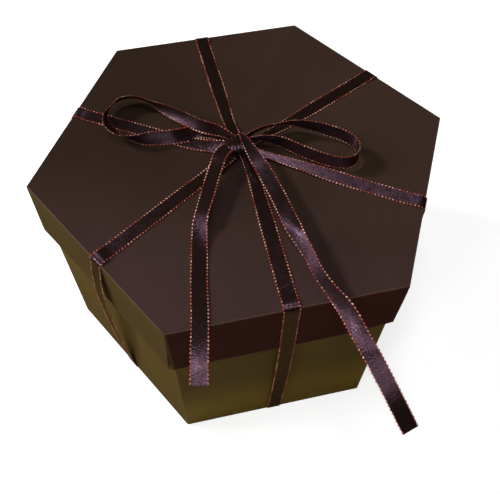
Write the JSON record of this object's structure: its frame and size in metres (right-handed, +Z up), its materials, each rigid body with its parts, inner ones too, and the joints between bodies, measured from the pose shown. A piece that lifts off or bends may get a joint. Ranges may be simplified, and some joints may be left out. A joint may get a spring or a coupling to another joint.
{
  "type": "explosion box",
  "caption": "Hexagonal card gift box tied with a satin ribbon: a loose lid holds nested hinged walls upright, and they fall flat when it is lifted off.",
  "frame": {"origin": "centre of the hexagon at the underside of the ribbon that crosses under the base, on the surface the box stands on", "axes": "+Z up, -Y out through the front wall, +X to the right through a corner of the hexagon"},
  "size_m": [0.2736, 0.3081, 0.1761],
  "materials": {
    "lid_card": "matte",
    "wall_card": "matte",
    "middle_card": "matte",
    "inner_card": "matte",
    "centre_card": "matte",
    "mat_paper": "matte",
    "ribbon": "satin"
  },
  "bodies": {
    "base": {"base_plate": "wall_card", "middle_base": "middle_card", "inner_base": "inner_card", "centre_box": "centre_card", "ribbon_under": "ribbon"},
    "lid": {"lid": "lid_card"},
    "ribbon_top": {"ribbon_knot": "ribbon", "bow_loop_left": "ribbon", "bow_loop_right": "ribbon", "bow_tail_left": "ribbon", "bow_tail_right": "ribbon", "ribbon_spoke_front": "ribbon", "ribbon_spoke_right_front": "ribbon", "ribbon_spoke_right_back": "ribbon", "ribbon_spoke_back": "ribbon", "ribbon_spoke_left_back": "ribbon", "ribbon_spoke_left_front": "ribbon"},
    "centre_lid": {"centre_box_lid": "centre_card"},
    "outer_front": {"outer_wall_front": "wall_card", "outer_mat_front": "mat_paper", "ribbon_leg_front": "ribbon"},
    "outer_right_front": {"outer_wall_right_front": "wall_card", "outer_mat_right_front": "mat_paper", "ribbon_leg_right_front": "ribbon"},
    "outer_right_back": {"outer_wall_right_back": "wall_card", "outer_mat_right_back": "mat_paper", "ribbon_leg_right_back": "ribbon"},
    "outer_back": {"outer_wall_back": "wall_card", "outer_mat_back": "mat_paper", "ribbon_leg_back": "ribbon"},
    "outer_left_back": {"outer_wall_left_back": "wall_card", "outer_mat_left_back": "mat_paper", "ribbon_leg_left_back": "ribbon"},
    "outer_left_front": {"outer_wall_left_front": "wall_card", "outer_mat_left_front": "mat_paper", "ribbon_leg_left_front": "ribbon"},
    "middle_front": {"middle_wall_front": "middle_card", "middle_mat_front": "mat_paper"},
    "middle_right_front": {"middle_wall_right_front": "middle_card", "middle_mat_right_front": "mat_paper"},
    "middle_right_back": {"middle_wall_right_back": "middle_card", "middle_mat_right_back": "mat_paper"},
    "middle_back": {"middle_wall_back": "middle_card", "middle_mat_back": "mat_paper"},
    "middle_left_back": {"middle_wall_left_back": "middle_card", "middle_mat_left_back": "mat_paper"},
    "middle_left_front": {"middle_wall_left_front": "middle_card", "middle_mat_left_front": "mat_paper"},
    "inner_front": {"inner_wall_front": "inner_card"},
    "inner_right_front": {"inner_wall_right_front": "inner_card"},
    "inner_right_back": {"inner_wall_right_back": "inner_card"},
    "inner_back": {"inner_wall_back": "inner_card"},
    "inner_left_back": {"inner_wall_left_back": "inner_card"},
    "inner_left_front": {"inner_wall_left_front": "inner_card"}
  },
  "joints": [
    {"name": "lid_lift", "type": "slide", "parent": "base", "child": "lid", "axis": [0, 0, 1], "range_m": [0, 0.72]},
    {"name": "ribbon_lift", "type": "slide", "parent": "lid", "child": "ribbon_top", "axis": [0, 0, 1], "range_m": [0, 0.15]},
    {"name": "centre_lid_lift", "type": "slide", "parent": "base", "child": "centre_lid", "axis": [0, 0, 1], "range_m": [0, 0.08]},
    {"name": "outer_fold_front", "type": "hinge", "parent": "base", "child": "outer_front", "pos_m": [0, -0.11432, 0.0005], "axis": [1, 0, 0], "range_deg": [0, 90], "deforming": ["ribbon_leg_front"]},
    {"name": "outer_fold_right_front", "type": "hinge", "parent": "base", "child": "outer_right_front", "pos_m": [0.099, -0.05716, 0.0005], "axis": [0.5, 0.866, 0], "range_deg": [0, 90], "deforming": ["ribbon_leg_right_front"]},
    {"name": "outer_fold_right_back", "type": "hinge", "parent": "base", "child": "outer_right_back", "pos_m": [0.099, 0.05716, 0.0005], "axis": [-0.5, 0.866, 0], "range_deg": [0, 90], "deforming": ["ribbon_leg_right_back"]},
    {"name": "outer_fold_back", "type": "hinge", "parent": "base", "child": "outer_back", "pos_m": [0, 0.11432, 0.0005], "axis": [-1, 0, 0], "range_deg": [0, 90], "deforming": ["ribbon_leg_back"]},
    {"name": "outer_fold_left_back", "type": "hinge", "parent": "base", "child": "outer_left_back", "pos_m": [-0.099, 0.05716, 0.0005], "axis": [-0.5, -0.866, 0], "range_deg": [0, 90], "deforming": ["ribbon_leg_left_back"]},
    {"name": "outer_fold_left_front", "type": "hinge", "parent": "base", "child": "outer_left_front", "pos_m": [-0.099, -0.05716, 0.0005], "axis": [0.5, -0.866, 0], "range_deg": [0, 90], "deforming": ["ribbon_leg_left_front"]},
    {"name": "middle_fold_front", "type": "hinge", "parent": "base", "child": "middle_front", "pos_m": [0, -0.10566, 0.0023], "axis": [1, 0, 0], "range_deg": [0, 90]},
    {"name": "middle_fold_right_front", "type": "hinge", "parent": "base", "child": "middle_right_front", "pos_m": [0.0915, -0.05283, 0.0023], "axis": [0.5, 0.866, 0], "range_deg": [0, 90]},
    {"name": "middle_fold_right_back", "type": "hinge", "parent": "base", "child": "middle_right_back", "pos_m": [0.0915, 0.05283, 0.0023], "axis": [-0.5, 0.866, 0], "range_deg": [0, 90]},
    {"name": "middle_fold_back", "type": "hinge", "parent": "base", "child": "middle_back", "pos_m": [0, 0.10566, 0.0023], "axis": [-1, 0, 0], "range_deg": [0, 90]},
    {"name": "middle_fold_left_back", "type": "hinge", "parent": "base", "child": "middle_left_back", "pos_m": [-0.0915, 0.05283, 0.0023], "axis": [-0.5, -0.866, 0], "range_deg": [0, 90]},
    {"name": "middle_fold_left_front", "type": "hinge", "parent": "base", "child": "middle_left_front", "pos_m": [-0.0915, -0.05283, 0.0023], "axis": [0.5, -0.866, 0], "range_deg": [0, 90]},
    {"name": "inner_fold_front", "type": "hinge", "parent": "base", "child": "inner_front", "pos_m": [0, -0.09699, 0.0041], "axis": [1, 0, 0], "range_deg": [0, 90]},
    {"name": "inner_fold_right_front", "type": "hinge", "parent": "base", "child": "inner_right_front", "pos_m": [0.084, -0.0485, 0.0041], "axis": [0.5, 0.866, 0], "range_deg": [0, 90]},
    {"name": "inner_fold_right_back", "type": "hinge", "parent": "base", "child": "inner_right_back", "pos_m": [0.084, 0.0485, 0.0041], "axis": [-0.5, 0.866, 0], "range_deg": [0, 90]},
    {"name": "inner_fold_back", "type": "hinge", "parent": "base", "child": "inner_back", "pos_m": [0, 0.09699, 0.0041], "axis": [-1, 0, 0], "range_deg": [0, 90]},
    {"name": "inner_fold_left_back", "type": "hinge", "parent": "base", "child": "inner_left_back", "pos_m": [-0.084, 0.0485, 0.0041], "axis": [-0.5, -0.866, 0], "range_deg": [0, 90]},
    {"name": "inner_fold_left_front", "type": "hinge", "parent": "base", "child": "inner_left_front", "pos_m": [-0.084, -0.0485, 0.0041], "axis": [0.5, -0.866, 0], "range_deg": [0, 90]}
  ],
  "couplings": [
    {"joint": "outer_fold_front", "follows": "lid_lift", "rad_per_m": 2.1816},
    {"joint": "outer_fold_right_front", "follows": "lid_lift", "rad_per_m": 2.1816},
    {"joint": "outer_fold_right_back", "follows": "lid_lift", "rad_per_m": 2.1816},
    {"joint": "outer_fold_back", "follows": "lid_lift", "rad_per_m": 2.1816},
    {"joint": "outer_fold_left_back", "follows": "lid_lift", "rad_per_m": 2.1816},
    {"joint": "outer_fold_left_front", "follows": "lid_lift", "rad_per_m": 2.1816},
    {"joint": "middle_fold_front", "follows": "lid_lift", "rad_per_m": 2.1816},
    {"joint": "middle_fold_right_front", "follows": "lid_lift", "rad_per_m": 2.1816},
    {"joint": "middle_fold_right_back", "follows": "lid_lift", "rad_per_m": 2.1816},
    {"joint": "middle_fold_back", "follows": "lid_lift", "rad_per_m": 2.1816},
    {"joint": "middle_fold_left_back", "follows": "lid_lift", "rad_per_m": 2.1816},
    {"joint": "middle_fold_left_front", "follows": "lid_lift", "rad_per_m": 2.1816},
    {"joint": "inner_fold_front", "follows": "lid_lift", "rad_per_m": 2.1816},
    {"joint": "inner_fold_right_front", "follows": "lid_lift", "rad_per_m": 2.1816},
    {"joint": "inner_fold_right_back", "follows": "lid_lift", "rad_per_m": 2.1816},
    {"joint": "inner_fold_back", "follows": "lid_lift", "rad_per_m": 2.1816},
    {"joint": "inner_fold_left_back", "follows": "lid_lift", "rad_per_m": 2.1816},
    {"joint": "inner_fold_left_front", "follows": "lid_lift", "rad_per_m": 2.1816}
  ]
}
